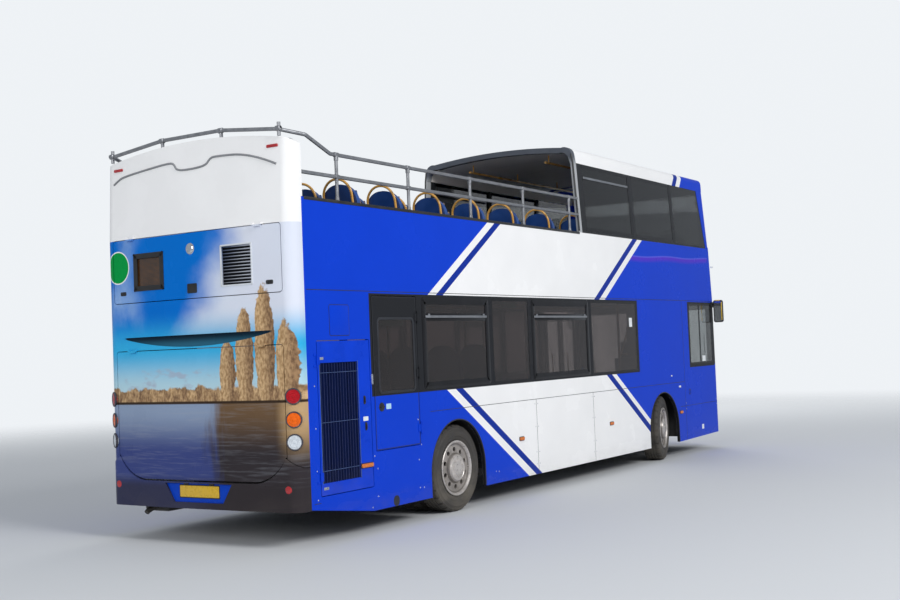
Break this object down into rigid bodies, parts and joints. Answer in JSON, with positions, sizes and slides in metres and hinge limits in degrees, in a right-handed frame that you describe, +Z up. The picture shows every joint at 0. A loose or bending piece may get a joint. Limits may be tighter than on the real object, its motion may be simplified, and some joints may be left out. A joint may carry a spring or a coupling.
{
  "type": "open top double decker sightseeing bus",
  "caption": "Open top double decker bus, right-hand drive, with a half canopy over the front of the upper deck, opening entry, emergency and service doors, and steered wheels",
  "frame": {"origin": "on the ground, at the middle of the bounding box", "axes": "+X forward along the bus, +Y to the bus's left, +Z up"},
  "size_m": [10.93, 2.88, 4.5199],
  "materials": {
    "bodywork": "glossy",
    "frame_dark": "satin",
    "display_black": "glossy",
    "tinted_glass": "glossy",
    "clear_glass": "glossy",
    "floor_vinyl": "matte",
    "interior_grey": "matte",
    "chassis_paint": "satin",
    "engine_grey": "matte",
    "rail_enamel": "satin",
    "seat_plastic": "satin",
    "handle_yellow": "satin",
    "seat_fabric": "matte",
    "black_plastic": "matte",
    "lamp_plastic": "glossy",
    "tyre_rubber": "matte",
    "wheel_trim": "satin",
    "door_steel": "satin"
  },
  "bodies": {
    "bus_body": {"side_right_lower": "bodywork", "side_left_lower": "bodywork", "side_right_upper": "bodywork", "side_left_upper": "bodywork", "rear_body": "bodywork", "rear_bumper": "bodywork", "rear_top": "bodywork", "front_lower": "bodywork", "front_upper": "bodywork", "roof_canopy": "bodywork", "canopy_frame": "frame_dark", "front_posts": "bodywork", "glass_lower": "tinted_glass", "glass_upper": "clear_glass", "windscreen_lower": "clear_glass", "windscreen_upper": "clear_glass", "lower_floor": "floor_vinyl", "wheel_boxes": "interior_grey", "upper_floor": "floor_vinyl", "stairs": "interior_grey", "chassis_frame": "chassis_paint", "cross_members": "chassis_paint", "front_axle": "chassis_paint", "rear_axle": "chassis_paint", "engine": "engine_grey", "guard_rails": "rail_enamel", "seats_upper": "seat_plastic", "seat_handles": "handle_yellow", "seats_lower": "seat_plastic", "seat_frames": "frame_dark", "driver_seat": "seat_fabric", "dashboard": "interior_grey", "steering_wheel": "black_plastic", "cab_partition": "interior_grey", "mirrors": "black_plastic", "rear_lamps": "lamp_plastic", "front_lamps": "lamp_plastic"},
    "engine_hatch_lid": {"engine_hatch": "bodywork"},
    "access_panel_lid": {"access_panel": "bodywork", "rear_display": "display_black"},
    "grille_leaf": {"grille_door": "bodywork"},
    "emergency_leaf": {"emergency_door": "bodywork", "emergency_glass": "tinted_glass"},
    "cab_gate": {"cab_door": "interior_grey"},
    "entry_front_post": {"entry_front_arms": "door_steel"},
    "entry_front_door": {"entry_front_leaf": "bodywork", "entry_front_glass": "clear_glass"},
    "entry_rear_post": {"entry_rear_arms": "door_steel"},
    "entry_rear_door": {"entry_rear_leaf": "bodywork", "entry_rear_glass": "clear_glass"},
    "steer_right": {"knuckle_right": "chassis_paint"},
    "steer_left": {"knuckle_left": "chassis_paint"},
    "front_wheel_right": {"front_tyre_right": "tyre_rubber", "front_rim_right": "wheel_trim"},
    "front_wheel_left": {"front_tyre_left": "tyre_rubber", "front_rim_left": "wheel_trim"},
    "rear_wheels_right": {"rear_tyres_right": "tyre_rubber", "rear_rims_right": "wheel_trim"},
    "rear_wheels_left": {"rear_tyres_left": "tyre_rubber", "rear_rims_left": "wheel_trim"}
  },
  "joints": [
    {"name": "steer_right", "type": "hinge", "parent": "bus_body", "child": "steer_right", "pos_m": [3.065, -0.96, 0.478], "axis": [0, 0, 1], "range_deg": [-58, 32]},
    {"name": "steer_left", "type": "hinge", "parent": "bus_body", "child": "steer_left", "pos_m": [3.065, 0.96, 0.478], "axis": [0, 0, 1], "range_deg": [-58, 32]},
    {"name": "front_spin_right", "type": "hinge", "parent": "steer_right", "child": "front_wheel_right", "pos_m": [3.09593, -1.09398, 0.478], "axis": [-0.225, 0.9744, 0], "continuous": true},
    {"name": "front_spin_left", "type": "hinge", "parent": "steer_left", "child": "front_wheel_left", "pos_m": [3.03407, 1.09398, 0.478], "axis": [-0.225, 0.9744, 0], "continuous": true},
    {"name": "rear_spin_right", "type": "hinge", "parent": "bus_body", "child": "rear_wheels_right", "pos_m": [-2.695, -1.0925, 0.478], "axis": [0, 1, 0], "continuous": true},
    {"name": "rear_spin_left", "type": "hinge", "parent": "bus_body", "child": "rear_wheels_left", "pos_m": [-2.695, 1.0925, 0.478], "axis": [0, 1, 0], "continuous": true},
    {"name": "entry_front_turn", "type": "hinge", "parent": "bus_body", "child": "entry_front_post", "pos_m": [5.185, 1.2375, 1.35], "axis": [0, 0, 1], "range_deg": [0, 90]},
    {"name": "entry_front_fold", "type": "hinge", "parent": "entry_front_post", "child": "entry_front_door", "pos_m": [4.865, 1.2375, 1.335], "axis": [0, 0, 1], "range_deg": [-180, 0]},
    {"name": "entry_rear_turn", "type": "hinge", "parent": "bus_body", "child": "entry_rear_post", "pos_m": [3.985, 1.2375, 1.35], "axis": [0, 0, 1], "range_deg": [-90, 0]},
    {"name": "entry_rear_fold", "type": "hinge", "parent": "entry_rear_post", "child": "entry_rear_door", "pos_m": [4.305, 1.2375, 1.335], "axis": [0, 0, 1], "range_deg": [0, 180]},
    {"name": "emergency_swing", "type": "hinge", "parent": "bus_body", "child": "emergency_leaf", "pos_m": [-3.427, -1.268, 1.586], "axis": [0, 0, 1], "range_deg": [0, 110]},
    {"name": "grille_swing", "type": "hinge", "parent": "bus_body", "child": "grille_leaf", "pos_m": [-5.123, -1.268, 1.1925], "axis": [0, 0, 1], "range_deg": [-100, 0]},
    {"name": "hatch_lift", "type": "hinge", "parent": "bus_body", "child": "engine_hatch_lid", "pos_m": [-5.459, 0, 1.904], "axis": [0, 1, 0], "range_deg": [0, 80]},
    {"name": "access_lift", "type": "hinge", "parent": "bus_body", "child": "access_panel_lid", "pos_m": [-5.459, 0, 3.044], "axis": [0, 1, 0], "range_deg": [0, 75]},
    {"name": "cab_gate_swing", "type": "hinge", "parent": "bus_body", "child": "cab_gate", "pos_m": [4.055, -0.315, 0.85], "axis": [0, 0, 1], "range_deg": [0, 90]}
  ],
  "couplings": [
    {"joint": "steer_left", "follows": "steer_right", "ratio": 1},
    {"joint": "entry_front_fold", "follows": "entry_front_turn", "ratio": -2},
    {"joint": "entry_rear_fold", "follows": "entry_rear_turn", "ratio": -2}
  ]
}
